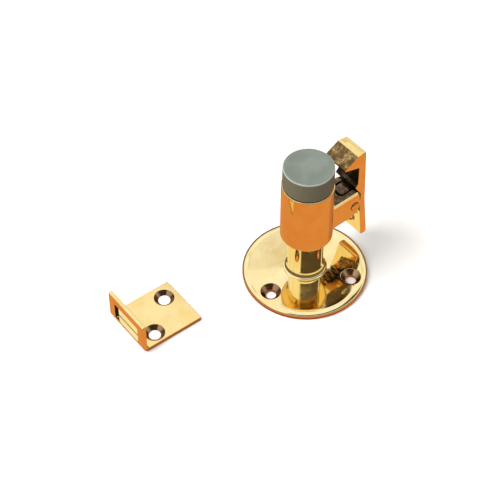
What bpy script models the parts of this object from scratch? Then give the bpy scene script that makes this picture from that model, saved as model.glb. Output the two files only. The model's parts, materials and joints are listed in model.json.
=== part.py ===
"""Door holder with a sprung hook, and the slotted keeper that goes with it.

Frame: metres, +Z up. The origin is the middle of the flange's underside, the post stands on +Z,
and the arm that carries the hook points along +X. The keeper stands beside it on the same plane.
"""
from math import asin, atan2, cos, pi, radians, sin

import bmesh
import bpy
from mathutils import Matrix, Vector

# Gaps and clearances
TOUCH_GAP = 0.0003          # left between two pieces that seat on each other
PIN_FIT = 0.0002            # radial gap around the pivot pin
THREAD_FIT = 0.0003         # radial gap around a stud in its tapped hole
LUG_SIDE_CLEARANCE = 0.0008  # each side of the hook's lug, between the cheeks
SPRING_CLEARANCE = 0.0003   # radial gap around the spring in its seats

# Flange and neck, one casting
FLANGE_RADIUS = 0.0250
FLANGE_EDGE_HEIGHT = 0.0015
FLANGE_BEVEL_WIDTH = 0.0030
FLANGE_BEVEL_RISE = 0.0014
FLANGE_CROWN = 0.0006       # rise of the cone from the bevel to the neck
NECK_FOOT_RADIUS = 0.0087
NECK_FOOT_STEP = 0.0006
NECK_FILLET = 0.0032         # height of the neck's flare above its foot
NECK_RADIUS = 0.0071
NECK_TOP_HEIGHT = 0.0229
FLANGE_SCREW_CIRCLE = 0.0189
FLANGE_SCREW_COUNT = 3
FLANGE_SCREW_TURN = radians(184.0)   # first hole, measured from the arm

# Countersunk screw holes, shared by flange and keeper
SCREW_HOLE_RADIUS = 0.00225
SCREW_SINK_RADIUS = 0.0040
SCREW_SINK_HALF_ANGLE = radians(45.0)

# Post body with its forked arm
BODY_RADIUS = 0.0103
BODY_LENGTH = 0.0272
BODY_EDGE = 0.0007
BODY_TOP_EDGE = 0.0004
ARM_WIDTH = 0.0124
ARM_ROOT = 0.0050           # where the arm's block starts, inside the body
ARM_ABOVE_PIN = 0.0063
ARM_BELOW_PIN = 0.0054
CHEEK_REACH = 0.0029        # from the pin's axis to the cheeks' flat ends
CHEEK_TOP_CORNER = 0.0016
CHEEK_LOWER_CORNER = 0.0055
FORK_SLOT_WIDTH = 0.0066
FORK_SLOT_DEPTH = 0.0053    # from the pin's axis to the slot's inner end
FORK_SLOT_CORNER = 0.0014

# Pivot
PIN_REACH = 0.01936         # from the post's axis
PIN_HEIGHT = 0.03005
PIN_RADIUS = 0.0018
PIN_CROWN = 0.0007
PIN_PROUD = 0.0007          # how far its ends stand out of the cheeks

# Hook, in its own X-Z outline around the pin's axis
HOOK_WIDTH = 0.0116
HOOK_TOP = 0.0266
HOOK_LAND = 0.0044
HOOK_OUTER_TOP = 0.0048
HOOK_OUTER_CORNER = 0.0007
HOOK_STRIP = 0.0034         # thickness of the strip above the lug
HOOK_NOSE_REACH = 0.0060
HOOK_NOSE_HEIGHT = 0.0226
HOOK_NOSE_THICKNESS = 0.0005
HOOK_ROOT_HEIGHT = 0.0201
TOOTH_REACH = 0.0011        # how far the lug's shoulder stands inside the strip
TOOTH_HEIGHT = 0.0100
TOOTH_FACE = 0.0007
STRIP_AT_PIN = 0.0026       # thickness of the strip beside the cheeks
TAIL_LENGTH = 0.0204
TAIL_FLARE = 0.0022         # how far the tail's outer face leans out below the pin
TAIL_THICKNESS = 0.0031
TAIL_TIP_RADIUS = 0.0011
LUG_RADIUS = 0.0042
LUG_END_CORNER = 0.0010      # seen from above
LUG_TOP = 0.0061
LUG_TOP_CORNER = 0.0008
LUG_ROOT_FILLET = 0.0016

# Compression spring from the post's crotch to the tail
SPRING_RADIUS = 0.0019      # to the middle of the wire
SPRING_WIRE_RADIUS = 0.00033
SPRING_TURNS = 8.5
SPRING_END_RISE = 0.0007    # rise of the first and last turns, which lie nearly flat
SPRING_SLOPE = radians(33.0)
SPRING_TAIL_HEIGHT = 0.0126  # below the pin, where its axis meets the tail
SPRING_SEAT_DEPTH = 0.0011
SPRING_POCKET_DEPTH = 0.0030

# Rubber buffer and its moulded-in stud
BUFFER_RADIUS = 0.0099
BUFFER_HEIGHT = 0.0090
BUFFER_EDGE = 0.0004
BUFFER_DISH = 0.00025
BUFFER_LAND = 0.0016        # from its outer edge to the dish
INSERT_RADIUS = 0.0060
INSERT_THICKNESS = 0.0015
INSERT_STUD_RADIUS = 0.0019
INSERT_STUD_LENGTH = 0.0070

# Stud that joins neck and body
POST_STUD_RADIUS = 0.0029
POST_STUD_IN_NECK = 0.0100
POST_STUD_IN_BODY = 0.0090
STUD_POINT = 0.0006
TAP_RUNOUT = 0.0010         # tapped holes go this much deeper than their studs

# Keeper
KEEPER_PLACE = Vector((-0.0606, 0.0186, 0.0))
KEEPER_TURN = radians(-2.0)
KEEPER_LENGTH = 0.0272
KEEPER_WIDTH = 0.0230
KEEPER_THICKNESS = 0.0017
KEEPER_FLANGE_HEIGHT = 0.0147
KEEPER_BEND_RADIUS = 0.0012  # inside the bend
KEEPER_SLOT_LENGTH = 0.0152
KEEPER_SLOT_HEIGHT = 0.0080
KEEPER_SLOT_BOTTOM = 0.0032
KEEPER_HOLE_A = (0.0078, 0.0054)     # from the plate's middle
KEEPER_HOLE_B = (-0.0052, -0.0066)

ROUND_SEGMENTS = 72
BORE_SEGMENTS = 36
CORNER_SEGMENTS = 6
SPRING_POINTS_PER_TURN = 14
CUT_OVERRUN = 0.0010        # how far a cutter runs past the face it opens

# Worked out from the values above
FLANGE_CONE_BOTTOM = FLANGE_EDGE_HEIGHT + FLANGE_BEVEL_RISE
FLANGE_TOP = FLANGE_CONE_BOTTOM + FLANGE_CROWN
BODY_BOTTOM = NECK_TOP_HEIGHT + TOUCH_GAP
BODY_TOP = BODY_BOTTOM + BODY_LENGTH
BUFFER_BOTTOM = BODY_TOP + TOUCH_GAP
PIN_AXIS = Vector((PIN_REACH, 0.0, PIN_HEIGHT))
STRIP_INNER_AT_PIN = CHEEK_REACH + TOUCH_GAP
STRIP_INNER = HOOK_OUTER_TOP - HOOK_STRIP
LUG_WIDTH = FORK_SLOT_WIDTH - 2 * LUG_SIDE_CLEARANCE


def clear_scene():
    """Remove every object that the file starts with."""
    for item in list(bpy.data.objects):
        bpy.data.objects.remove(item, do_unlink=True)


def finish_material(name, colour, metallic, roughness):
    """Return a Principled material with one colour."""
    material = bpy.data.materials.new(name)
    material.use_nodes = True
    shader = material.node_tree.nodes["Principled BSDF"]
    shader.inputs["Base Color"].default_value = (*colour, 1.0)
    shader.inputs["Metallic"].default_value = metallic
    shader.inputs["Roughness"].default_value = roughness
    return material


def add_object(name, form, material=None, smooth_angle=radians(30.0)):
    """Turn a bmesh into an object; without a material it is a cutter that isn't part of the model."""
    bmesh.ops.remove_doubles(form, verts=form.verts, dist=1e-7)
    bmesh.ops.recalc_face_normals(form, faces=form.faces)
    mesh = bpy.data.meshes.new(name)
    form.to_mesh(mesh)
    form.free()
    item = bpy.data.objects.new(name, mesh)
    bpy.context.scene.collection.objects.link(item)
    if material is None:
        item.hide_render = True
        item.display_type = "WIRE"
        return item
    mesh.materials.append(material)
    mesh.shade_smooth()
    mesh.set_sharp_from_angle(angle=smooth_angle)
    return item


def turned(profile, segments=ROUND_SEGMENTS):
    """Return a solid of revolution about Z; the profile runs from axis to axis as (radius, height)."""
    form = bmesh.new()
    points = [form.verts.new((radius, 0.0, height)) for radius, height in profile]
    edges = [form.edges.new(pair) for pair in zip(points, points[1:])]
    bmesh.ops.spin(form, geom=points + edges, cent=(0, 0, 0), axis=(0, 0, 1), angle=2 * pi,
                   steps=segments, use_merge=True)
    return form


def extruded(outline, low, high, upright=False):
    """Return a prism: its outline is X-Z and it runs along Y, or X-Y and up Z if it is upright."""
    form = bmesh.new()
    spots = [(x, across, low) if upright else (x, low, across) for x, across in outline]
    face = form.faces.new([form.verts.new(spot) for spot in spots])
    sweep = bmesh.ops.extrude_face_region(form, geom=[face])
    moved = [part for part in sweep["geom"] if isinstance(part, bmesh.types.BMVert)]
    run = (0, 0, high - low) if upright else (0, high - low, 0)
    bmesh.ops.translate(form, verts=moved, vec=run)
    return form


def arc(centre, reach, start, end, steps=CORNER_SEGMENTS):
    """Return points of an arc with two half axes, from a start angle to an end angle in degrees."""
    turns = (radians(start + (end - start) * step / steps) for step in range(steps + 1))
    return [(centre[0] + reach[0] * cos(turn), centre[1] + reach[1] * sin(turn)) for turn in turns]


def rounded(corner_list):
    """Return an outline with arcs; each corner is (x, z, radius), and radius 0 leaves it sharp."""
    outline = []
    count = len(corner_list)
    for index, (x, z, radius) in enumerate(corner_list):
        here = Vector((x, z))
        if radius == 0:
            outline.append((x, z))
            continue
        before = (Vector(corner_list[index - 1][:2]) - here).normalized()
        after = (Vector(corner_list[(index + 1) % count][:2]) - here).normalized()
        half = before.angle(after) / 2
        centre = here + (before + after).normalized() * (radius / sin(half))
        start = here + before * (radius * cos(half) / sin(half)) - centre
        end = here + after * (radius * cos(half) / sin(half)) - centre
        first = atan2(start.y, start.x)
        sweep = (atan2(end.y, end.x) - first + pi) % (2 * pi) - pi
        for step in range(CORNER_SEGMENTS + 1):
            angle = first + sweep * step / CORNER_SEGMENTS
            outline.append((centre.x + radius * cos(angle), centre.y + radius * sin(angle)))
    return outline


def soft_ended(inner, outer, width, corner):
    """Return the X-Y outline of a bar whose inner end has two rounded corners."""
    half = width / 2
    return rounded([(outer, half, 0), (outer, -half, 0), (inner, -half, corner), (inner, half, corner)])


def along(axis, place):
    """Return the matrix that turns +Z onto an axis and moves the origin to a place."""
    return Matrix.Translation(place) @ Vector(axis).to_track_quat("Z", "Y").to_matrix().to_4x4()


def rod_cutter(name, radius, length, place, axis=(0, 0, 1), segments=BORE_SEGMENTS):
    """Return a round cutter that starts at a place and runs along an axis."""
    form = turned([(0, 0), (radius, 0), (radius, length), (0, length)], segments)
    form.transform(along(axis, place))
    return add_object(name, form)


def sink_cutter(name, place, thickness):
    """Return the cutter of a countersunk screw hole whose top is at a place and runs down."""
    sink_depth = (SCREW_SINK_RADIUS - SCREW_HOLE_RADIUS) / sin(SCREW_SINK_HALF_ANGLE) \
        * cos(SCREW_SINK_HALF_ANGLE)
    wide = SCREW_SINK_RADIUS + CUT_OVERRUN * sin(SCREW_SINK_HALF_ANGLE) / cos(SCREW_SINK_HALF_ANGLE)
    profile = [(0, -thickness - CUT_OVERRUN), (SCREW_HOLE_RADIUS, -thickness - CUT_OVERRUN),
               (SCREW_HOLE_RADIUS, -sink_depth), (wide, CUT_OVERRUN), (0, CUT_OVERRUN)]
    form = turned(profile, BORE_SEGMENTS)
    bmesh.ops.translate(form, verts=form.verts, vec=place)
    return add_object(name, form)


def cut(item, cutter, operation="DIFFERENCE"):
    """Add an exact Boolean of the cutter to an object."""
    modifier = item.modifiers.new(cutter.name, "BOOLEAN")
    modifier.operation = operation
    modifier.solver = "EXACT"
    modifier.object = cutter


def flange_surface(radius):
    """Return the height of the flange's cone at a distance from its axis."""
    edge = FLANGE_RADIUS - FLANGE_BEVEL_WIDTH
    return FLANGE_CONE_BOTTOM + FLANGE_CROWN * (edge - radius) / (edge - NECK_FOOT_RADIUS)


def make_base_flange(brass):
    """Round flange with its neck, three countersunk holes and a tapped hole down the neck."""
    bevel = arc((FLANGE_RADIUS - FLANGE_BEVEL_WIDTH, FLANGE_EDGE_HEIGHT),
                (FLANGE_BEVEL_WIDTH, FLANGE_BEVEL_RISE), 0, 90)
    foot_top = FLANGE_TOP + NECK_FOOT_STEP
    fillet = arc((NECK_FOOT_RADIUS, foot_top + NECK_FILLET),
                 (NECK_FOOT_RADIUS - NECK_RADIUS, NECK_FILLET), 270, 180)
    profile = [(0, 0), (FLANGE_RADIUS, 0), *bevel, (NECK_FOOT_RADIUS, FLANGE_TOP), *fillet,
               (NECK_RADIUS, NECK_TOP_HEIGHT), (0, NECK_TOP_HEIGHT)]
    flange = add_object("base_flange", turned(profile), brass)
    for index in range(FLANGE_SCREW_COUNT):
        angle = FLANGE_SCREW_TURN + 2 * pi * index / FLANGE_SCREW_COUNT
        top = flange_surface(FLANGE_SCREW_CIRCLE)
        place = (FLANGE_SCREW_CIRCLE * cos(angle), FLANGE_SCREW_CIRCLE * sin(angle), top)
        cut(flange, sink_cutter(f"flange_screw_hole_{index + 1}", place, top))
    depth = POST_STUD_IN_NECK + TAP_RUNOUT
    cut(flange, rod_cutter("neck_tapped_hole", POST_STUD_RADIUS + THREAD_FIT, depth + CUT_OVERRUN,
                           (0, 0, NECK_TOP_HEIGHT - depth)))


def stud_profile(radius, low, high):
    """Return the turned profile of a stud with a chamfer at both ends."""
    return [(0, low), (radius - STUD_POINT, low), (radius, low + STUD_POINT),
            (radius, high - STUD_POINT), (radius - STUD_POINT, high), (0, high)]


def make_post_stud(steel):
    """Stud that holds the post body down on the neck."""
    low = NECK_TOP_HEIGHT - POST_STUD_IN_NECK
    high = BODY_BOTTOM + POST_STUD_IN_BODY
    add_object("post_stud", turned(stud_profile(POST_STUD_RADIUS, low, high), BORE_SEGMENTS), steel)


def spring_line():
    """Return the spring axis's two ends, in the pocket and in the tail's seat, and its direction."""
    outward = Vector((cos(SPRING_SLOPE), 0.0, -sin(SPRING_SLOPE)))
    meets_tail = PIN_AXIS + Vector((tail_inner(SPRING_TAIL_HEIGHT), 0.0, -SPRING_TAIL_HEIGHT))
    to_post = (meets_tail.x - BODY_RADIUS) / outward.x
    pocket_end = meets_tail - outward * (to_post + SPRING_POCKET_DEPTH)
    seat_end = meets_tail + outward * SPRING_SEAT_DEPTH
    return pocket_end, seat_end, outward


def arm_outline():
    """Return the arm's side outline, from inside the body to the cheeks' ends."""
    end = PIN_REACH + CHEEK_REACH
    top = PIN_HEIGHT + ARM_ABOVE_PIN
    bottom = PIN_HEIGHT - ARM_BELOW_PIN
    return rounded([(ARM_ROOT, bottom, 0), (ARM_ROOT, top, 0), (end, top, CHEEK_TOP_CORNER),
                    (end, bottom, CHEEK_LOWER_CORNER)])


def fork_slot_cutter():
    """Return the cutter of the slot between the cheeks."""
    outline = soft_ended(PIN_REACH - FORK_SLOT_DEPTH, PIN_REACH + CHEEK_REACH + CUT_OVERRUN,
                         FORK_SLOT_WIDTH, FORK_SLOT_CORNER)
    return add_object("fork_slot", extruded(outline, PIN_HEIGHT - ARM_BELOW_PIN - CUT_OVERRUN,
                                            PIN_HEIGHT + ARM_ABOVE_PIN + CUT_OVERRUN, upright=True))


def make_post_body(brass):
    """Round body and forked arm in one casting, with its bores, pin hole and spring pocket."""
    foot = arc((BODY_RADIUS - BODY_EDGE, BODY_BOTTOM + BODY_EDGE), (BODY_EDGE, BODY_EDGE), -90, 0)
    profile = [(0, BODY_BOTTOM), *foot, (BODY_RADIUS, BODY_TOP - BODY_TOP_EDGE),
               (BODY_RADIUS - BODY_TOP_EDGE, BODY_TOP), (0, BODY_TOP)]
    body = add_object("post_body", turned(profile), brass)
    arm = add_object("arm_block", extruded(arm_outline(), -ARM_WIDTH / 2, ARM_WIDTH / 2))
    cut(body, arm, "UNION")
    cut(body, fork_slot_cutter())
    cut(body, rod_cutter("cheek_pin_hole", PIN_RADIUS + PIN_FIT, ARM_WIDTH + 2 * CUT_OVERRUN,
                         PIN_AXIS - Vector((0, ARM_WIDTH / 2 + CUT_OVERRUN, 0)), (0, 1, 0)))
    pocket_end, seat_end, outward = spring_line()
    cut(body, rod_cutter("spring_pocket", SPRING_RADIUS + SPRING_WIRE_RADIUS + SPRING_CLEARANCE,
                         (seat_end - pocket_end).length, pocket_end - outward * TOUCH_GAP, outward))
    stud_depth = POST_STUD_IN_BODY + TAP_RUNOUT
    cut(body, rod_cutter("body_tapped_hole", POST_STUD_RADIUS + THREAD_FIT, stud_depth + CUT_OVERRUN,
                         (0, 0, BODY_BOTTOM - CUT_OVERRUN)))
    insert_depth = INSERT_STUD_LENGTH + TAP_RUNOUT
    cut(body, rod_cutter("insert_tapped_hole", INSERT_STUD_RADIUS + THREAD_FIT,
                         insert_depth + CUT_OVERRUN, (0, 0, BODY_TOP - insert_depth)))


def make_buffer_insert(steel):
    """Disc and stud that hold the rubber buffer on the body."""
    top = BUFFER_BOTTOM + INSERT_THICKNESS
    low = BODY_TOP - INSERT_STUD_LENGTH
    profile = [(0, low), (INSERT_STUD_RADIUS - STUD_POINT, low), (INSERT_STUD_RADIUS, low + STUD_POINT),
               (INSERT_STUD_RADIUS, BUFFER_BOTTOM), (INSERT_RADIUS, BUFFER_BOTTOM),
               (INSERT_RADIUS, top), (0, top)]
    add_object("buffer_insert", turned(profile, BORE_SEGMENTS), steel)


def make_rubber_buffer(rubber):
    """Round rubber buffer with a shallow dished face and a recess for its insert."""
    top = BUFFER_BOTTOM + BUFFER_HEIGHT
    recess = INSERT_THICKNESS + TOUCH_GAP
    recess_radius = INSERT_RADIUS + TOUCH_GAP
    land = BUFFER_RADIUS - BUFFER_LAND
    profile = [(0, BUFFER_BOTTOM + recess), (recess_radius, BUFFER_BOTTOM + recess),
               (recess_radius, BUFFER_BOTTOM), (BUFFER_RADIUS, BUFFER_BOTTOM),
               (BUFFER_RADIUS, top - BUFFER_EDGE), (BUFFER_RADIUS - BUFFER_EDGE, top), (land, top),
               (land - BUFFER_DISH, top - BUFFER_DISH), (0, top - BUFFER_DISH)]
    add_object("rubber_buffer", turned(profile), rubber)


def tail_outer(depth):
    """Return how far the tail's outer face stands from the pin's axis, this far below it."""
    at_pin = STRIP_INNER_AT_PIN + STRIP_AT_PIN
    return at_pin + TAIL_FLARE * depth / TAIL_LENGTH


def tail_inner(depth):
    """Return how far the tail's inner face stands from the pin's axis, this far below it."""
    start = ARM_BELOW_PIN
    tip = tail_outer(TAIL_LENGTH) - TAIL_THICKNESS
    return STRIP_INNER_AT_PIN + (tip - STRIP_INNER_AT_PIN) * (depth - start) / (TAIL_LENGTH - start)


def hook_outline():
    """Return the hook's side outline around the pin's axis, from the nose round to the tail."""
    land_edge = HOOK_OUTER_TOP - HOOK_LAND
    tooth = STRIP_INNER - TOOTH_REACH
    strip_outer = STRIP_INNER_AT_PIN + STRIP_AT_PIN
    corners = [(-HOOK_NOSE_REACH, HOOK_NOSE_HEIGHT, 0),
               (-HOOK_NOSE_REACH, HOOK_NOSE_HEIGHT + HOOK_NOSE_THICKNESS, 0),
               (land_edge, HOOK_TOP, 0), (HOOK_OUTER_TOP, HOOK_TOP, HOOK_OUTER_CORNER),
               (strip_outer, 0, 0),
               (tail_outer(TAIL_LENGTH), -TAIL_LENGTH, TAIL_TIP_RADIUS),
               (tail_inner(TAIL_LENGTH), -TAIL_LENGTH, TAIL_TIP_RADIUS),
               (STRIP_INNER_AT_PIN, -ARM_BELOW_PIN, 0),
               (STRIP_INNER_AT_PIN, ARM_ABOVE_PIN - CHEEK_TOP_CORNER, 0),
               (tooth, TOOTH_HEIGHT - TOOTH_FACE, 0), (tooth, TOOTH_HEIGHT, 0),
               (STRIP_INNER, TOOTH_HEIGHT + TOOTH_REACH, 0), (STRIP_INNER, HOOK_ROOT_HEIGHT, 0)]
    return rounded(corners)


def lug_outline():
    """Return the side outline of the lug that turns on the pin between the cheeks."""
    inside = STRIP_INNER_AT_PIN + STRIP_AT_PIN / 2
    tooth = STRIP_INNER - TOOTH_REACH
    hub = [(x, z, 0) for x, z in arc((0, 0), (LUG_RADIUS, LUG_RADIUS), 270, 180, 2 * CORNER_SEGMENTS)]
    return rounded([*hub, (-LUG_RADIUS, LUG_TOP, LUG_TOP_CORNER), (tooth, LUG_TOP, LUG_ROOT_FILLET),
                    (tooth + TOOTH_FACE, TOOTH_HEIGHT - TOOTH_FACE, 0),
                    (inside, TOOTH_HEIGHT - TOOTH_FACE, 0), (inside, -LUG_RADIUS, 0)])


def lug_end_outline():
    """Return the outline of the bar that gives the lug its width and its inner end's corners."""
    return soft_ended(-LUG_RADIUS, STRIP_INNER_AT_PIN + STRIP_AT_PIN / 2, LUG_WIDTH, LUG_END_CORNER)


def make_latch_hook(brass):
    """Hook, strip, thumb tail and pivot lug in one casting; its origin is on the pin's axis."""
    hook = add_object("latch_hook", extruded(hook_outline(), -HOOK_WIDTH / 2, HOOK_WIDTH / 2), brass)
    lug = add_object("lug_block", extruded(lug_outline(), -HOOK_WIDTH / 2, HOOK_WIDTH / 2))
    lug_end = add_object("lug_end", extruded(lug_end_outline(), -LUG_RADIUS - CUT_OVERRUN,
                                             TOOTH_HEIGHT + CUT_OVERRUN, upright=True))
    pin_hole = rod_cutter("lug_pin_hole", PIN_RADIUS + PIN_FIT, HOOK_WIDTH + 2 * CUT_OVERRUN,
                          (0, -HOOK_WIDTH / 2 - CUT_OVERRUN, 0), (0, 1, 0))
    seat_end, outward = spring_line()[1:]
    seat = rod_cutter("tail_spring_seat", SPRING_RADIUS + SPRING_WIRE_RADIUS + SPRING_CLEARANCE,
                      4 * SPRING_SEAT_DEPTH, seat_end + outward * TOUCH_GAP - PIN_AXIS, -outward)
    cut(lug, lug_end, "INTERSECT")
    cut(hook, lug, "UNION")
    cut(hook, pin_hole)
    cut(hook, seat)
    for item in (hook, lug, lug_end, pin_hole, seat):
        item.location = PIN_AXIS


def make_pivot_pin(brass):
    """Pin pressed through both cheeks, with crowned ends that stand a little proud."""
    half = ARM_WIDTH / 2 + PIN_PROUD
    crown_radius = (PIN_RADIUS ** 2 + PIN_CROWN ** 2) / (2 * PIN_CROWN)
    spread = asin(PIN_RADIUS / crown_radius)
    turns = [spread * step / CORNER_SEGMENTS for step in range(CORNER_SEGMENTS + 1)]
    crown = [(crown_radius * sin(turn), half - crown_radius * (1 - cos(turn))) for turn in turns]
    profile = [(radius, -height) for radius, height in crown] + crown[::-1]
    form = turned(profile, BORE_SEGMENTS)
    form.transform(Matrix.Rotation(-pi / 2, 4, "X"))
    pin = add_object("pivot_pin", form, brass)
    pin.location = PIN_AXIS


def make_latch_spring(steel):
    """Compression spring: a round wire wound from the post's pocket to the tail's seat."""
    pocket_end, seat_end, outward = spring_line()
    length = (seat_end - pocket_end).length - 2 * SPRING_WIRE_RADIUS
    steps = round(SPRING_TURNS * SPRING_POINTS_PER_TURN)
    curve = bpy.data.curves.new("latch_spring", "CURVE")
    curve.dimensions = "3D"
    curve.bevel_depth = SPRING_WIRE_RADIUS
    curve.bevel_resolution = 1
    curve.use_fill_caps = True
    wire = curve.splines.new("POLY")
    wire.points.add(steps)
    end_share = 1.0 / SPRING_TURNS
    for index, point in enumerate(wire.points):
        share = index / steps
        turn = 2 * pi * SPRING_TURNS * share
        if share < end_share:
            rise = SPRING_END_RISE * share / end_share
        elif share > 1 - end_share:
            rise = length - SPRING_END_RISE * (1 - share) / end_share
        else:
            open_share = (share - end_share) / (1 - 2 * end_share)
            rise = SPRING_END_RISE + (length - 2 * SPRING_END_RISE) * open_share
        point.co = (SPRING_RADIUS * cos(turn), SPRING_RADIUS * sin(turn), rise + SPRING_WIRE_RADIUS, 1.0)
    spring = bpy.data.objects.new("latch_spring", curve)
    spring.matrix_world = along(outward, pocket_end)
    curve.materials.append(steel)
    bpy.context.scene.collection.objects.link(spring)


def keeper_outline():
    """Return the bent plate's side outline, around the middle of its footprint."""
    half = KEEPER_LENGTH / 2
    outer_bend = KEEPER_BEND_RADIUS + KEEPER_THICKNESS
    return rounded([(-half, 0, outer_bend), (-half, KEEPER_FLANGE_HEIGHT, 0),
                    (-half + KEEPER_THICKNESS, KEEPER_FLANGE_HEIGHT, 0),
                    (-half + KEEPER_THICKNESS, KEEPER_THICKNESS, KEEPER_BEND_RADIUS),
                    (half, KEEPER_THICKNESS, 0), (half, 0, 0)])


def make_keeper_plate(brass):
    """Bent plate with a slot for the hook's nose and two countersunk holes."""
    keeper = add_object("keeper_plate", extruded(keeper_outline(), -KEEPER_WIDTH / 2, KEEPER_WIDTH / 2),
                        brass)
    block = bmesh.new()
    bmesh.ops.create_cube(block, size=1.0)
    bmesh.ops.scale(block, verts=block.verts,
                    vec=(2 * KEEPER_THICKNESS + 2 * CUT_OVERRUN, KEEPER_SLOT_LENGTH, KEEPER_SLOT_HEIGHT))
    bmesh.ops.translate(block, verts=block.verts,
                        vec=(-KEEPER_LENGTH / 2, 0, KEEPER_SLOT_BOTTOM + KEEPER_SLOT_HEIGHT / 2))
    cutters = [add_object("keeper_slot", block)]
    for label, (x, y) in (("a", KEEPER_HOLE_A), ("b", KEEPER_HOLE_B)):
        cutters.append(sink_cutter(f"keeper_screw_hole_{label}", (x, y, KEEPER_THICKNESS), KEEPER_THICKNESS))
    placing = Matrix.Translation(KEEPER_PLACE) @ Matrix.Rotation(KEEPER_TURN, 4, "Z")
    for item in (keeper, *cutters):
        item.matrix_world = placing
    for cutter in cutters:
        cut(keeper, cutter)


def main():
    """Build every piece of the door holder."""
    clear_scene()
    brass = finish_material("polished_brass", (0.90, 0.64, 0.25), 1.0, 0.12)
    cast_brass = finish_material("cast_brass", (0.86, 0.58, 0.22), 1.0, 0.18)
    steel = finish_material("stainless_steel", (0.62, 0.60, 0.56), 1.0, 0.25)
    rubber = finish_material("grey_rubber", (0.23, 0.26, 0.22), 0.0, 0.55)
    make_base_flange(brass)
    make_post_stud(steel)
    make_post_body(brass)
    make_buffer_insert(steel)
    make_rubber_buffer(rubber)
    make_latch_hook(cast_brass)
    make_pivot_pin(cast_brass)
    make_latch_spring(steel)
    make_keeper_plate(brass)


if __name__ == "__main__":
    main()
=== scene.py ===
"""Door holder with a sprung hook, and its slotted keeper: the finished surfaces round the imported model.

Frame: metres, +Z up the post, +X along the arm. Each sub-assembly is a class that holds its sizes,
builds its pieces with rounded edges, and dresses them in polished, turned or as-cast brass, rubber
or steel. Overall sizes come from the frame's own boxes; the sizes below are those of the details.
"""

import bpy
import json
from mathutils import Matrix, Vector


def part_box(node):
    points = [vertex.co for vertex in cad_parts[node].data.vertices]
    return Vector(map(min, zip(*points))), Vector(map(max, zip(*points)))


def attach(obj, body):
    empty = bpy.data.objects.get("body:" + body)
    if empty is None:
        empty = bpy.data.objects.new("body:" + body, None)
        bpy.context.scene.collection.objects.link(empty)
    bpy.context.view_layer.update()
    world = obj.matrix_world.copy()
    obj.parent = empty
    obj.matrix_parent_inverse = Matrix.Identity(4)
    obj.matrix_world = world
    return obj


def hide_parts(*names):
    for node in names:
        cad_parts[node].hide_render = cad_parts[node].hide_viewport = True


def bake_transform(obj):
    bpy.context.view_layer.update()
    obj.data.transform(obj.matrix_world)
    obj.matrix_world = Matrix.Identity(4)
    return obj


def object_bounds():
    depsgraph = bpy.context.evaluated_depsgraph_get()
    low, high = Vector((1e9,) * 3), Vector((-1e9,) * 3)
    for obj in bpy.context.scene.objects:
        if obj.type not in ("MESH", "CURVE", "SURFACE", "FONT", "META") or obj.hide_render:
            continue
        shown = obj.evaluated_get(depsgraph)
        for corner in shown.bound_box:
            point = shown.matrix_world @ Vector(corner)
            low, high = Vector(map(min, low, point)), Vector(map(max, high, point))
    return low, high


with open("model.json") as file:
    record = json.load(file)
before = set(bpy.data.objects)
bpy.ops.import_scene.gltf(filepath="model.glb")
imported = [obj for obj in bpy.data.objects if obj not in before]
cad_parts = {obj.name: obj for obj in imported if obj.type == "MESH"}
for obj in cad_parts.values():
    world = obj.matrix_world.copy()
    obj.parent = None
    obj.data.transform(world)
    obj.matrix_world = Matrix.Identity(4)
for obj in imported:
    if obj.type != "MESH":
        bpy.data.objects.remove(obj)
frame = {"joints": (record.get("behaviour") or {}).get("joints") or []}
CAD_BOX = [list(corner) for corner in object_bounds()]

import json
import logging
from collections.abc import Callable
from dataclasses import dataclass, field
from enum import Enum
from math import atan2, cos, pi, radians, sin, tan

import bmesh
import bpy
from bmesh.types import BMEdge, BMesh, BMVert
from bpy.types import Material, MeshPolygon, Node, NodeSocket, Object, World
from mathutils import Matrix, Vector

LOG = logging.getLogger("door_holder")
MM = 0.001
TINY, NEAR, CLEAR = 1e-6, 1e-5, 1e-4  # tolerances in metres
LEVEL, NEARLY_LEVEL, STEEP, LEANING = 0.999, 0.85, 0.7, 0.2  # shares of a face's normal along an axis
UP = Vector((0, 0, 1))
Point = tuple[float, float]
Colour = tuple[float, float, float]


class Body(Enum):
    """The rigid bodies of the frame."""

    HOLDER = "holder"
    LATCH = "latch"
    KEEPER = "keeper"


class Slot(Enum):
    """The record's material slots."""

    POLISHED = "polished_brass"
    CAST = "cast_brass"
    STEEL = "stainless_steel"
    RUBBER = "grey_rubber"


class Grain(Enum):
    """The way a brass surface was worked, which sets the run of its fine marks."""

    TURNED = "rings about the post's axis"
    MOPPED = "short strokes of the polishing mop"
    UPRIGHT = "strokes that run up and down"


# ---- Shaping ----
ROUND_SEGMENTS = 144
BORE_SEGMENTS = 56
ARC_STEPS = 6


def arc(centre: Point, reach: Point, start: float, end: float, steps: int = ARC_STEPS) -> list[Point]:
    """Points of an arc with half axes across and up, from one angle in degrees to another."""
    turns = (radians(start + (end - start) * step / steps) for step in range(steps + 1))
    return [(centre[0] + reach[0] * cos(turn), centre[1] + reach[1] * sin(turn)) for turn in turns]


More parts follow.
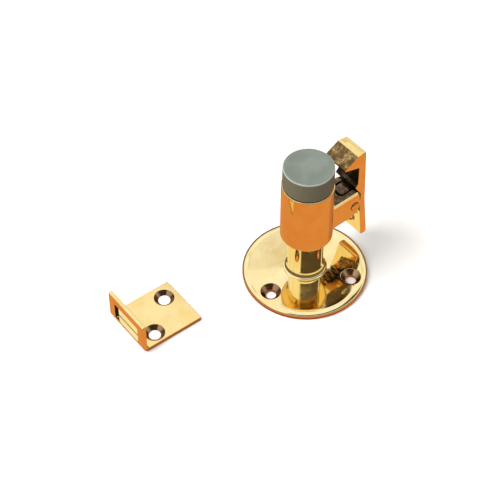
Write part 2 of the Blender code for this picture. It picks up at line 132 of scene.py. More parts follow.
def rounded(corners: list[tuple[float, float, float]], steps: int = ARC_STEPS) -> list[Point]:
    """Outline whose corners carry arcs.

    Args:
        corners: Corners in order as (across, up, radius); a radius of 0 stays sharp.
        steps: Chords in each arc.

    Returns:
        The outline's points.
    """
    outline: list[Point] = []
    for index, (x, z, radius) in enumerate(corners):
        here = Vector((x, z))
        if radius == 0:
            outline.append((x, z))
            continue
        before = (Vector(corners[index - 1][:2]) - here).normalized()
        after = (Vector(corners[(index + 1) % len(corners)][:2]) - here).normalized()
        half = before.angle(after) / 2
        centre = here + (before + after).normalized() * (radius / sin(half))
        start, end = (here + side * (radius / tan(half)) - centre for side in (before, after))
        first = atan2(start.y, start.x)
        sweep = (atan2(end.y, end.x) - first + pi) % (2 * pi) - pi
        for step in range(steps + 1):
            angle = first + sweep * step / steps
            outline.append((centre.x + radius * cos(angle), centre.y + radius * sin(angle)))
    return outline


def eased(radius: float, height: float, ease: float, steps: int, upper: bool = True) -> list[Point]:
    """Rounded outer edge of a turned profile, under a height or else above it."""
    centre = (radius - ease, height - ease if upper else height + ease)
    return arc(centre, (ease, ease), 0 if upper else -90, 90 if upper else 0, steps)


def turned(profile: list[Point], segments: int = ROUND_SEGMENTS) -> BMesh:
    """Solid of revolution about Z.

    Args:
        profile: Points (radius, height) that start and end on the axis.
        segments: Number of steps round.

    Returns:
        A closed bmesh.
    """
    form = bmesh.new()
    points = [form.verts.new((radius, 0.0, height)) for radius, height in profile]
    edges = [form.edges.new(pair) for pair in zip(points, points[1:])]
    bmesh.ops.spin(form, geom=points + edges, cent=(0, 0, 0), axis=(0, 0, 1), angle=2 * pi,
                   steps=segments, use_merge=True)
    bmesh.ops.remove_doubles(form, verts=form.verts, dist=1e-7)
    bmesh.ops.recalc_face_normals(form, faces=form.faces)
    return form


def slab(outline: list[Point], low: float, high: float, upright: bool = False) -> BMesh:
    """Prism with a free outline.

    Args:
        outline: Points of the outline, in X-Z, or in X-Y if the prism stands upright.
        low: Where the prism starts, on Y, or on Z if it stands upright.
        high: Where it ends.
        upright: Whether the prism runs up Z.

    Returns:
        A closed bmesh.
    """
    form = bmesh.new()
    spots = [(x, z, low) if upright else (x, low, z) for x, z in outline]
    face = form.faces.new([form.verts.new(spot) for spot in spots])
    sweep = bmesh.ops.extrude_face_region(form, geom=[face])
    moved = [part for part in sweep["geom"] if isinstance(part, BMVert)]
    run = (0, 0, high - low) if upright else (0, high - low, 0)
    bmesh.ops.translate(form, verts=moved, vec=run)
    bmesh.ops.recalc_face_normals(form, faces=form.faces)
    return form


def soft_ended(inner: float, outer: float, half: float, corner: float) -> list[Point]:
    """X-Y outline of a bar of some half width, from an inner end with rounded corners to a square one."""
    return rounded([(outer, half, 0), (outer, -half, 0), (inner, -half, corner),
                    (inner, half, corner)])


def rod(radius: float, start: Vector, axis: Vector, length: float) -> BMesh:
    """Round bar for a bore.

    Args:
        radius: Its radius.
        start: The middle of its first end.
        axis: The way it runs.
        length: How far it runs.

    Returns:
        A closed bmesh.
    """
    form = turned([(0, 0), (radius, 0), (radius, length), (0, length)], BORE_SEGMENTS)
    form.transform(along(axis, start))
    return form


def along(axis: Vector, place: Vector) -> Matrix:
    """Matrix that turns +Z onto an axis and moves the origin to a place."""
    turn = Vector(axis).to_track_quat("Z", "Y").to_matrix().to_4x4()
    return Matrix.Translation(place) @ turn


def soften(form: BMesh, width: float, chosen: Callable[[BMEdge], bool], segments: int = 3) -> None:
    """Round some edges of a bmesh.

    Args:
        form: The bmesh that is changed.
        width: How far the rounding reaches from the edge.
        chosen: Test that takes an edge and says whether it is rounded.
        segments: Facets across the rounding.
    """
    edges = [edge for edge in form.edges if chosen(edge)]
    bmesh.ops.bevel(form, geom=edges, offset=width, offset_type="OFFSET", affect="EDGES",
                    segments=segments, profile=0.5, material=-1)


def to_object(name: str, form: BMesh) -> Object:
    """Put a bmesh in a new object.

    Args:
        name: The object's name.
        form: The bmesh, which is used up.

    Returns:
        The object, linked to the scene.
    """
    mesh = bpy.data.meshes.new(name)
    form.to_mesh(mesh)
    form.free()
    item = bpy.data.objects.new(name, mesh)
    bpy.context.scene.collection.objects.link(item)
    return item


def carve(item: Object, form: BMesh, operation: str = "DIFFERENCE") -> None:
    """Cut a shape out of an object, or join it on, and keep the result in its mesh.

    Args:
        item: The object that is changed.
        form: The other shape, which is used up.
        operation: DIFFERENCE, UNION or INTERSECT.
    """
    other = to_object("cutter", form)
    change = item.modifiers.new("carve", "BOOLEAN")
    change.operation, change.solver, change.object = operation, "EXACT", other
    bpy.context.view_layer.update()
    evaluated = item.evaluated_get(bpy.context.evaluated_depsgraph_get())
    before, item.data = item.data, bpy.data.meshes.new_from_object(evaluated)
    item.modifiers.remove(change)
    bpy.data.meshes.remove(before)
    bpy.data.meshes.remove(other.data)


@dataclass(frozen=True)
class ScrewHole:
    """Countersunk hole for a No. 8 wood screw, with its rim eased by hand."""

    radius: float = 2.25 * MM
    sink_radius: float = 4.0 * MM
    lip: float = 0.3 * MM
    overrun: float = 1.0 * MM

    def holds(self, face: MeshPolygon, place: Vector) -> bool:
        """Whether a face lies in the hole, clear of the plate's two faces."""
        reach = (face.center - place).to_2d().length
        return reach < self.sink_radius + self.lip and abs(face.normal.z) < NEARLY_LEVEL

    def cutter(self, place: Vector, thickness: float, slope: Vector = Vector((0, 0, 0))) -> BMesh:
        """Shape of the hole.

        Args:
            place: Middle of the hole on the upper face.
            thickness: Thickness of the plate under it.
            slope: Rise of the upper face for each metre along X and Y.

        Returns:
            A closed bmesh.
        """
        depth = self.sink_radius - self.radius
        half = radians(45)
        lip_centre = (self.sink_radius + self.lip * tan(half / 2) * 2, -self.lip)
        lip = arc(lip_centre, (self.lip, self.lip), 135, 90, 4)
        bottom = -thickness - self.overrun
        profile = [(0, bottom), (self.radius, bottom), (self.radius, -depth), *lip,
                   (lip_centre[0], self.overrun), (0, self.overrun)]
        form = turned(profile, BORE_SEGMENTS)
        for vert in form.verts:
            if vert.co.z > -depth - self.lip:
                vert.co.z += slope.x * vert.co.x + slope.y * vert.co.y
        bmesh.ops.translate(form, verts=form.verts, vec=place)
        return form


# ---- Finishes ----
class Graph:
    """Short way to lay out the nodes of a material or of the world."""

    def __init__(self, owner: Material | World, coordinates: str = "Object") -> None:
        """Start from what a new material or world has.

        Args:
            owner: The material or world.
            coordinates: Which texture coordinates the noise uses.
        """
        owner.use_nodes = True
        self.owner, self.tree = owner, owner.node_tree
        self.place = self.node("ShaderNodeTexCoord").outputs[coordinates]

    def node(self, kind: str, inputs: dict | None = None, **settings: object) -> Node:
        """Add a node.

        Args:
            kind: Its type.
            inputs: Values or sockets for its inputs, by name or number.
            **settings: Values for its own properties.

        Returns:
            The new node.
        """
        node = self.tree.nodes.new(kind)
        for key, value in settings.items():
            setattr(node, key, value)
        for key, value in (inputs or {}).items():
            if isinstance(value, NodeSocket):
                self.tree.links.new(value, node.inputs[key])
            else:
                node.inputs[key].default_value = value
        return node

    def noise(self, size: float, detail: float = 3.0, roughness: float = 0.55,
              stretch: tuple[float, float, float] = (1, 1, 1), offset: float = 0.0) -> NodeSocket:
        """Noise in the piece's own coordinates.

        Args:
            size: Width of its largest features in metres.
            detail: Octaves of finer noise.
            roughness: Strength of the finer noise.
            stretch: How many times longer the features are along each axis.
            offset: Shift that makes one layer differ from another.

        Returns:
            The noise value from 0 to 1.
        """
        scale = tuple(1 / (size * share) for share in stretch)
        mapping = self.node("ShaderNodeMapping", {"Vector": self.place, "Location": (offset,) * 3,
                                                  "Scale": scale})
        noise = self.node("ShaderNodeTexNoise", {"Vector": mapping.outputs[0], "Scale": 1.0,
                                                 "Detail": detail, "Roughness": roughness})
        return noise.outputs["Fac"]

    def spread(self, value: NodeSocket, low: float, high: float, to_low: float = 0.0,
               to_high: float = 1.0) -> NodeSocket:
        """Map the range from low to high smoothly onto another range, held at both ends."""
        inputs = {0: value, 1: low, 2: high, 3: to_low, 4: to_high}
        return self.node("ShaderNodeMapRange", inputs, interpolation_type="SMOOTHSTEP").outputs[0]

    def mix(self, share: NodeSocket, first: Colour | NodeSocket, second: Colour | NodeSocket) -> NodeSocket:
        """Blend two colours.

        Args:
            share: How much of the second colour shows, from 0 to 1.
            first: Colour at 0.
            second: Colour at 1.

        Returns:
            The blended colour.
        """
        ends = [end if isinstance(end, NodeSocket) else (*end, 1.0) for end in (first, second)]
        inputs = {"Factor": share, 6: ends[0], 7: ends[1]}
        return self.node("ShaderNodeMix", inputs, data_type="RGBA").outputs[2]

    def math(self, operation: str, first: NodeSocket, second: NodeSocket | float) -> NodeSocket:
        """Result of an operation on two values."""
        return self.node("ShaderNodeMath", {0: first, 1: second}, operation=operation).outputs[0]

    def bump(self, height: NodeSocket, distance: float, below: NodeSocket | None = None) -> NodeSocket:
        """Raise the surface, by a distance where the value is 1, on top of the normal below."""
        inputs = {"Height": height, "Distance": distance, "Strength": 1.0}
        return self.node("ShaderNodeBump", inputs | ({"Normal": below} if below else {})).outputs["Normal"]

    def finish(self, colour: NodeSocket, roughness: NodeSocket, normal: NodeSocket,
               **uniform: float) -> Material:
        """Connect the shader.

        Args:
            colour: Base colour.
            roughness: Roughness.
            normal: Surface normal.
            **uniform: Other sockets that are the same all over, by name with _ for a space.

        Returns:
            The finished material.
        """
        inputs = self.tree.nodes["Principled BSDF"].inputs
        for key, value in (("Base Color", colour), ("Roughness", roughness), ("Normal", normal)):
            self.tree.links.new(value, inputs[key])
        for key, value in uniform.items():
            inputs[key.replace("_", " ")].default_value = value
        return self.owner


@dataclass(frozen=True)
class PolishedBrass:
    """Brass polished on a mop: a slow unevenness, fine marks along the stroke and a few small pits.

    Below its foot height its colour is darker: painted shade, standing for the shaded table that the metal
    mirrors there.
    """

    name: str
    grain: Grain = Grain.MOPPED
    colour: Colour = (0.93, 0.75, 0.36)
    warm: Colour = (0.90, 0.67, 0.27)
    wave_size: float = 5.0 * MM
    wave_height: float = 0.012 * MM
    mark_size: float = 0.30 * MM
    mark_height: float = 0.0006 * MM
    pit_size: float = 0.9 * MM
    pit_depth: float = 0.01 * MM
    pit_colour: Colour = (0.30, 0.17, 0.07)
    roughness: tuple[float, float] = (0.05, 0.13)
    # foot and shaded: height and colour of the painted shade next to the table
    foot: float = 0.0
    shaded: Colour = (0.46, 0.26, 0.15)

    def make(self) -> Material:
        """Build the material.

        Returns:
            The finished material.
        """
        graph = Graph(bpy.data.materials.new(self.name))
        tone = graph.spread(graph.noise(self.wave_size * 1.6, 4.0), 0.35, 0.65)
        marks = self.marks(graph)
        smear = graph.spread(graph.noise(self.wave_size * 0.6, 5.0, 0.65, offset=3.1), 0.4, 0.75)
        pits = self.pits(graph)
        colour = graph.mix(tone, self.colour, self.warm)
        colour = graph.mix(graph.math("MULTIPLY", pits, 0.7), colour, self.pit_colour)
        # Painted shade: below the foot height the colour turns to the shaded colour, for the mirrored
        # shadow of the table
        height = graph.node("ShaderNodeSeparateXYZ", {0: graph.place}).outputs[2]
        table_shade = graph.spread(height, self.foot * 0.80, self.foot * 0.98 + 0.01 * MM, 1.0, 0.0)
        colour = graph.mix(table_shade, colour, self.shaded)
        low, high = self.roughness
        dull = graph.math("ADD", graph.math("MULTIPLY", smear, 0.85), graph.math("MULTIPLY", marks, 0.15))
        roughness = graph.spread(dull, 0.1, 0.9, low, high)
        normal = graph.bump(graph.noise(self.wave_size, 2.0, 0.4, offset=1.7), self.wave_height)
        normal = graph.bump(marks, self.mark_height, normal)
        normal = graph.bump(pits, -self.pit_depth, normal)
        return graph.finish(colour, roughness, normal, Metallic=1.0)

    def marks(self, graph: Graph) -> NodeSocket:
        """Fine marks of the tool or the mop.

        Args:
            graph: The material that they belong to.

        Returns:
            Their height from 0 to 1.
        """
        if self.grain is Grain.TURNED:
            rings = graph.node("ShaderNodeTexWave", {
                "Vector": graph.place, "Scale": 1 / (self.mark_size * 20), "Distortion": 1.2, "Detail": 3.0,
                "Detail Scale": 1.5}, wave_type="RINGS", rings_direction="Z", wave_profile="SIN")
            return rings.outputs["Fac"]
        stretch = (1, 1, 14) if self.grain is Grain.UPRIGHT else (10, 3, 2)
        return graph.noise(self.mark_size, 4.0, 0.6, stretch)

    def pits(self, graph: Graph) -> NodeSocket:
        """Pin holes of the casting that polishing leaves open.

        Args:
            graph: The material that they belong to.

        Returns:
            A value that is 1 in a pit and 0 elsewhere.
        """
        cells = graph.node("ShaderNodeTexVoronoi", {"Vector": graph.place, "Scale": 1 / self.pit_size,
                                                    "Randomness": 1.0})
        near = graph.spread(cells.outputs["Distance"], 0.05, 0.12, 1.0, 0.0)
        rare = graph.spread(graph.noise(self.pit_size * 4, 2.0, offset=7.3), 0.60, 0.66)
        return graph.math("MULTIPLY", near, rare)


@dataclass(frozen=True)
class CastBrass:
    """Brass as it left the sand: grainy, brown in its hollows and rubbed bright on its high spots."""

    name: str
    bright: Colour = (0.55, 0.38, 0.15)
    hollow: Colour = (0.165, 0.100, 0.046)
    bright_from: float = 0.42
    bright_to: float = 0.66
    grain_size: float = 1.3 * MM
    grain_height: float = 0.16 * MM
    roughness: tuple[float, float] = (0.42, 0.20)
    metal: float = 1.0

    def make(self) -> Material:
        """Build the material.

        Returns:
            The finished material.
        """
        graph = Graph(bpy.data.materials.new(self.name))
        lumps = graph.noise(self.grain_size * 2.2, 5.0, 0.62)
        sand = graph.noise(self.grain_size * 0.45, 3.0, 0.6, offset=4.4)
        rubbed = graph.spread(lumps, self.bright_from, self.bright_to)
        speckle = graph.spread(sand, 0.38, 0.55)
        colour = graph.mix(graph.math("MULTIPLY", rubbed, speckle), self.hollow, self.bright)
        roughness = graph.spread(rubbed, 0.0, 1.0, *self.roughness)
        normal = graph.bump(lumps, self.grain_height)
        normal = graph.bump(sand, self.grain_height * 0.3, normal)
        return graph.finish(colour, roughness, normal, Metallic=self.metal)


@dataclass(frozen=True)
class MouldedRubber:
    """Grey-green rubber from a mould: satin, finely grained, a little paler on its worn rim; its side is
    painted darker and browner than its top face, as shade.
    """

    name: str
    rim_radius: float
    top: float
    colour: Colour = (0.178, 0.208, 0.177)
    dark: Colour = (0.150, 0.176, 0.150)
    # side: the darker, browner colour painted on the side as shade
    side: Colour = (0.106, 0.104, 0.066)
    pale: Colour = (0.330, 0.365, 0.320)
    rim_width: float = 0.55 * MM
    cloud_size: float = 7 * MM
    grain_size: float = 0.22 * MM
    grain_height: float = 0.012 * MM
    swell_size: float = 4.5 * MM
    swell_height: float = 0.05 * MM
    roughness: tuple[float, float] = (0.62, 0.48)

    def make(self) -> Material:
        """Build the material.

        Returns:
            The finished material.
        """
        graph = Graph(bpy.data.materials.new(self.name))
        cloud = graph.spread(graph.noise(self.cloud_size, 4.0, 0.5), 0.35, 0.68)
        grain = graph.noise(self.grain_size, 3.0, 0.6, offset=2.2)
        spots = graph.node("ShaderNodeSeparateXYZ", {0: graph.place}).outputs
        flat = graph.node("ShaderNodeCombineXYZ", {0: spots[0], 1: spots[1]}).outputs[0]
        radius = graph.node("ShaderNodeVectorMath", {0: flat}, operation="LENGTH").outputs["Value"]
        outer = graph.spread(radius, self.rim_radius - self.rim_width, self.rim_radius - self.rim_width / 3)
        upper = graph.spread(spots[2], self.top - self.rim_width, self.top - self.rim_width / 3)
        rim = graph.math("MULTIPLY", outer, upper)
        worn = graph.math("MULTIPLY", rim, graph.spread(grain, 0.2, 0.6, 0.6))
        # Painted shade: below the top face the colour turns to the darker side colour
        face = graph.spread(spots[2], self.top - self.rim_width * 1.2, self.top - self.rim_width * 0.8)
        colour = graph.mix(face, self.side, graph.mix(cloud, self.dark, self.colour))
        colour = graph.mix(worn, colour, self.pale)
        roughness = graph.spread(cloud, 0.0, 1.0, *self.roughness)
        normal = graph.bump(grain, self.grain_height)
        normal = graph.bump(graph.noise(self.swell_size, 2.0, offset=9.0), self.swell_height, normal)
        return graph.finish(colour, roughness, normal, Metallic=0.0, Specular_IOR_Level=0.45)


@dataclass(frozen=True)
class DrawnSteel:
    """Bright stainless steel wire or bar, with faint drawing marks and dull patches."""

    name: str
    colour: Colour = (0.60, 0.58, 0.54)
    dull: Colour = (0.36, 0.33, 0.29)
    patch_size: float = 1.6 * MM
    mark_size: float = 0.15 * MM
    mark_height: float = 0.002 * MM
    roughness: tuple[float, float] = (0.18, 0.38)

    def make(self) -> Material:
        """Build the material.

        Returns:
            The finished material.
        """
        graph = Graph(bpy.data.materials.new(self.name))
        patches = graph.spread(graph.noise(self.patch_size, 4.0), 0.35, 0.7)
        marks = graph.noise(self.mark_size, 3.0, 0.6, (1, 1, 8))
        colour = graph.mix(patches, self.colour, self.dull)
        roughness = graph.spread(patches, 0.0, 1.0, *self.roughness)
        return graph.finish(colour, roughness, graph.bump(marks, self.mark_height), Metallic=1.0)


# Countersink brass: rougher than the polish, and its colour darkened as painted shade in the recess
SINK_BRASS = PolishedBrass("countersink_painted_shade_brass", colour=(0.42, 0.28, 0.16), warm=(0.30, 0.18, 0.10),
                           wave_height=0.0, mark_size=0.2 * MM, roughness=(0.12, 0.24))
SKIN_BRASS = CastBrass("skin_cast_brass", (0.66, 0.50, 0.32), (0.21, 0.13, 0.08), metal=0.4,
                       roughness=(0.60, 0.40))
# Nearly black cast brass: painted shade inside the fork, the strip and the keeper's slot, and painted dark
# reflection on the pin's crown flanks
PAINTED_SHADE_BRASS = CastBrass("painted_shade_cast_brass", (0.12, 0.085, 0.05), (0.03, 0.024, 0.018))


# ---- Sub-assemblies ----
@dataclass
class SubAssembly:
    """What every sub-assembly of the door holder shares."""

    pieces: list[Object] = field(default_factory=list, init=False)

    @staticmethod
    def dress(item: Object, *materials: Material) -> None:
        """Give a piece its materials.

        Args:
            item: The piece.
            *materials: The materials, in the order of its faces' numbers.
        """
        item.data.materials.clear()
        for material in materials:
            item.data.materials.append(material)

    @staticmethod
    def number(item: Object, index: int, chosen: Callable[[MeshPolygon], bool]) -> None:
        """Give some faces of a piece the material of that number.

        Args:
            item: The piece, which has its materials already.
            index: The material's number.
            chosen: Test that takes a face and says whether it belongs.
        """
        for face in item.data.polygons:
            if chosen(face):
                face.material_index = index

    def settle(self, item: Object, node: str, slot: Slot, body: Body | None = None) -> None:
        """Say which CAD node a piece stands for and what it rides on, and report it.

        Args:
            item: The piece.
            node: The CAD node that it stands for.
            slot: The record's slot of its finish; not used.
            body: The body that it moves with; a blended piece has none.
        """
        if body:
            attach(item, body.value)
        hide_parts(node)
        self.pieces.append(item)
        LOG.info("%s stands for %s, %d faces", item.name, node, len(item.data.polygons))

    @staticmethod
    def smooth(item: Object, edge: float = 0.0, angle: float = radians(40), segments: int = 3) -> None:
        """Shade a piece smooth, with its remaining sharp edges eased.

        Args:
            item: The piece.
            edge: Width of the easing; 0 leaves the edges as they are.
            angle: Edges sharper than this are eased.
            segments: Facets across the easing.
        """
        item.data.shade_smooth()
        if edge:
            ease = item.modifiers.new("eased_edges", "BEVEL")
            ease.width, ease.segments, ease.limit_method, ease.angle_limit = edge, segments, "ANGLE", angle
        else:
            item.data.set_sharp_from_angle(angle=angle)
        weigh = item.modifiers.new("flat_faces", "WEIGHTED_NORMAL")
        weigh.keep_sharp = True


@dataclass
class BaseAndNeck(SubAssembly):
    """Round flange with its neck, turned in one piece, and the stud that joins it to the body."""

    edge_height: float = 1.5 * MM
    bevel_width: float = 3.0 * MM
    bevel_rise: float = 1.4 * MM
    crown: float = 0.6 * MM
    under_edge: float = 0.25 * MM
    foot_radius: float = 8.7 * MM
    foot_step: float = 0.6 * MM
    foot_ease: float = 0.15 * MM
    neck_fillet: float = 3.2 * MM
    neck_radius: float = 7.1 * MM
    neck_edge: float = 0.3 * MM
    screw_circle: float = 18.9 * MM
    screw_count: int = 3
    screw_turn: float = radians(184)
    stud_radius: float = 2.9 * MM
    stud_play: float = 0.3 * MM
    thread_depth: float = 0.35 * MM
    thread_pitch: float = 1.0 * MM
    hole: ScrewHole = ScrewHole()

    def __post_init__(self) -> None:
        """Read the overall sizes from the frame."""
        low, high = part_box("base_flange")
        self.radius, self.top = high.x, high.z
        stud_low, stud_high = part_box("post_stud")
        self.stud_low, self.stud_high = stud_low.z, stud_high.z

    def build(self) -> None:
        """Build and dress the flange and the stud."""
        flange = self.flange()
        # The flange's edge, below its edge height, gets the painted shade of the table
        polished = PolishedBrass("turned_brass", Grain.TURNED, (0.95, 0.82, 0.47), (0.93, 0.76, 0.38),
                                 wave_size=6 * MM, wave_height=0.018 * MM,
                                 mark_height=0.0002 * MM, roughness=(0.06, 0.14), foot=self.edge_height)
        self.dress(flange, polished.make(), SINK_BRASS.make())
        # The screw holes take the countersink brass, darkened as painted shade
        self.number(flange, 1, self.in_sink)
        self.settle(flange, "base_flange", Slot.POLISHED, Body.HOLDER)
        stud = threaded_bar("post_stud_threaded", self.stud_radius, self.stud_low, self.stud_high,
                            self.thread_depth, self.thread_pitch)
        self.smooth(stud, angle=radians(35))
        self.dress(stud, DrawnSteel("stud_steel").make())
        self.settle(stud, "post_stud", Slot.STEEL, Body.HOLDER)

    def screw_way(self, index: int) -> Vector:
        """Unit vector from the axis towards one of the screw holes."""
        angle = self.screw_turn + 2 * pi * index / self.screw_count
        return Vector((cos(angle), sin(angle), 0.0))

    def in_sink(self, face: MeshPolygon) -> bool:
        """Whether a face belongs to a screw hole."""
        ways = (self.screw_way(index) for index in range(self.screw_count))
        return any(self.hole.holds(face, way * self.screw_circle) for way in ways)

    def profile(self) -> list[Point]:
        """Lay out the turned outline of flange and neck.

        Returns:
            The points (radius, height), which start and end on the axis.
        """
        cone_bottom = self.edge_height + self.bevel_rise
        cone_top = cone_bottom + self.crown
        foot_top = cone_top + self.foot_step
        ease = self.foot_ease
        under = eased(self.radius, 0.0, self.under_edge, 3, False)
        rim = arc((self.radius - self.bevel_width, self.edge_height),
                  (self.bevel_width, self.bevel_rise), 0, 80, 10)
        step = eased(self.foot_radius, foot_top, ease, 3)
        reach = self.foot_radius - ease - self.neck_radius
        fillet = arc((self.foot_radius - ease, foot_top + self.neck_fillet),
                     (reach, self.neck_fillet), 262, 180, 14)
        neck = eased(self.neck_radius, self.top, self.neck_edge, 4)
        return [(0, 0), *under, *rim, (self.radius - self.bevel_width, cone_bottom),
                (self.foot_radius, cone_top), *step, *fillet, *neck, (0, self.top)]

    def flange(self) -> Object:
        """Turn the flange, sink its screw holes and bore the neck.

        Returns:
            The flange, shaded smooth.
        """
        item = to_object("base_flange_turned", turned(self.profile()))
        cone_bottom = self.edge_height + self.bevel_rise
        edge = self.radius - self.bevel_width
        fall = self.crown / (edge - self.foot_radius)
        height = cone_bottom + fall * (edge - self.screw_circle)
        for index in range(self.screw_count):
            out = self.screw_way(index)
            place = out * self.screw_circle + Vector((0, 0, height))
            carve(item, self.hole.cutter(place, height, -fall * out))
        bore = self.stud_radius + self.stud_play
        start = Vector((0, 0, self.stud_low - 1.0 * MM))
        carve(item, rod(bore, start, Vector((0, 0, 1)), self.top - start.z + 1.0 * MM))
        self.smooth(item, angle=radians(28))
        return item


def threaded_bar(name: str, radius: float, low: float, high: float, depth: float, pitch: float) -> Object:
    """Round bar with a cut thread.

    Args:
        name: The object's name.
        radius: Radius over the thread's crests.
        low: Height of its lower end.
        high: Height of its upper end.
        depth: Depth of the thread.
        pitch: Rise of the thread in one turn.

    Returns:
        The object.
    """
    steps = 32
    core = radius - depth
    form = turned([(0, low), (core - depth, low), (core, low + depth), (core, high - depth),
                   (core - depth, high), (0, high)], steps)
    turns = int((high - low - 2 * pitch) / pitch)
    half = pitch * 0.46
    start = low + pitch
    root, crest = core - depth / 4, half * 0.12
    section = [(root, start - half), (radius, start - crest), (radius, start + crest), (root, start + half)]
    ridge = form.faces.new([form.verts.new((x, 0.0, z)) for x, z in section])
    bmesh.ops.spin(form, geom=[ridge, *ridge.edges, *ridge.verts], cent=(0, 0, 0), axis=(0, 0, 1),
                   dvec=(0, 0, pitch / steps), angle=2 * pi * turns, steps=turns * steps)
    bmesh.ops.recalc_face_normals(form, faces=form.faces)
    return to_object(name, form)


@dataclass
class BodyAndArm(SubAssembly):
    """Round body with its forked arm, one casting that is polished outside."""

    radius: float = 10.3 * MM
    foot_edge: float = 0.7 * MM
    top_edge: float = 0.45 * MM
    arm_width: float = 12.4 * MM
    above_pin: float = 6.3 * MM
    below_pin: float = 5.4 * MM
    cheek_reach: float = 2.9 * MM
    cheek_top_corner: float = 1.6 * MM
    cheek_lower_corner: float = 5.5 * MM
    top_chamfer: float = 0.75 * MM
    slot_width: float = 6.6 * MM
    slot_depth: float = 5.3 * MM
    slot_corner: float = 1.4 * MM
    pin_fit: float = 0.2 * MM
    spring_play: float = 0.3 * MM
    stud_bore: float = 3.2 * MM
    insert_bore: float = 2.2 * MM
    rim_edge: float = 0.12 * MM
    overrun: float = 1.0 * MM

    def build(self) -> None:
        """Build and dress the casting."""
        item = self.casting()
        self.dress(item, PolishedBrass("mopped_brass", Grain.UPRIGHT).make(),
                   SKIN_BRASS.make(), PAINTED_SHADE_BRASS.make())
        self.sort_faces(item)
        self.smooth(item, self.rim_edge, radians(42), 2)
        self.settle(item, "post_body", Slot.POLISHED, Body.HOLDER)

    def casting(self) -> Object:
        """Turn the body, join the arm on and open the fork, the pin hole and the spring's pocket.

        Returns:
            The casting with its bores.
        """
        low, high = (corner.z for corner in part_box("post_body"))
        pin = HINGE.pin_axis
        profile = [(0, low), *eased(self.radius, low, self.foot_edge, 6, False),
                   *eased(self.radius, high, self.top_edge, 6), (0, high)]
        item = to_object("post_body_cast", turned(profile))
        carve(item, self.arm(), "UNION")
        half = self.slot_width / 2
        outline = soft_ended(pin.x - self.slot_depth, pin.x + self.cheek_reach + self.overrun, half,
                             self.slot_corner)
        carve(item, slab(outline, pin.z - self.below_pin - self.overrun,
                         pin.z + self.above_pin + self.overrun, True))
        across = Vector((0, self.arm_width / 2 + self.overrun, 0))
        carve(item, rod(HINGE.pin_radius + self.pin_fit, pin - across, across, 2 * across.y))
        spring = HINGE.spring_outer + self.spring_play
        carve(item, rod(spring, HINGE.pocket_end - HINGE.spring_way * self.spring_play,
                        HINGE.spring_way, HINGE.spring_length))
        stud_top, insert_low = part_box("post_stud")[1].z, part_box("buffer_insert")[0].z
        for bore, start, end in ((self.stud_bore, low, stud_top), (self.insert_bore, insert_low, high)):
            carve(item, rod(bore, UP * (start - self.overrun), UP, end - start + 2 * self.overrun))
        return item

    def arm(self) -> BMesh:
        """Shape the arm as a bar, chamfered where its sides meet the raw upper face.

        Returns:
            A closed bmesh.
        """
        pin = HINGE.pin_axis
        end = pin.x + self.cheek_reach
        top, bottom = pin.z + self.above_pin, pin.z - self.below_pin
        outline = rounded([(self.radius / 2, bottom, 0), (self.radius / 2, top, 0),
                           (end, top, self.cheek_top_corner), (end, bottom, self.cheek_lower_corner)], 8)
        form = slab(outline, -self.arm_width / 2, self.arm_width / 2)

        def on_side(edge: BMEdge) -> bool:
            """Whether an edge lies in one of the arm's side faces, clear of its root."""
            first, second = (vert.co for vert in edge.verts)
            return abs(first.y - second.y) < TINY and max(first.x, second.x) > self.radius

        def on_top(edge: BMEdge) -> bool:
            """Whether an edge belongs to the upper ones, round to the cheeks' ends."""
            lowest = min(vert.co.z for vert in edge.verts)
            return on_side(edge) and lowest > top - self.cheek_top_corner - TINY

        soften(form, self.top_chamfer, on_top, 1)
        return form

    def sort_faces(self, item: Object) -> None:
        """Number the faces: 0 polished, 1 raw upper face of the arm, 2 inside of the fork, painted dark as
        shade.

        Args:
            item: The casting.
        """
        pin = HINGE.pin_axis
        inner = pin.x - self.slot_depth
        for face in item.data.polygons:
            centre, way = face.center, face.normal
            out = (centre.x ** 2 + centre.y ** 2) ** 0.5
            inside = abs(centre.y) < self.slot_width / 2 + NEAR and centre.x > inner - NEAR
            # Painted shade: the fork's inside walls take the nearly black brass
            if out > self.radius + CLEAR and inside and abs(way.z) < STEEP:
                face.material_index = 2
            elif out > self.radius + CLEAR and way.z > LEVEL:
                face.material_index = 1


@dataclass
class Hinge:
    """Where the hook turns and where its spring pushes, shared by the pieces that meet there."""

    pin_radius: float = 1.8 * MM
    spring_radius: float = 1.9 * MM
    wire_radius: float = 0.33 * MM
    spring_slope: float = radians(33)
    below_pin: float = 12.6 * MM
    seat_depth: float = 1.1 * MM
    pocket_depth: float = 3.0 * MM
    body_radius: float = 10.3 * MM
    tail_inner_there: float = 4.02 * MM

    def __post_init__(self) -> None:
        """Work out the spring's way and its two ends, in the post's pocket and in the tail's seat."""
        joint = next(joint for joint in frame["joints"] if joint["name"] == "latch_hinge")
        self.pin_axis = Vector(joint["pos_m"])
        self.spring_outer = self.spring_radius + self.wire_radius
        self.spring_way = Vector((cos(self.spring_slope), 0.0, -sin(self.spring_slope)))
        meets_tail = self.pin_axis + Vector((self.tail_inner_there, 0.0, -self.below_pin))
        to_post = (meets_tail.x - self.body_radius) / self.spring_way.x
        self.pocket_end = meets_tail - self.spring_way * (to_post + self.pocket_depth)
        self.seat_end = meets_tail + self.spring_way * self.seat_depth
        self.spring_length = (self.seat_end - self.pocket_end).length


HINGE = Hinge()


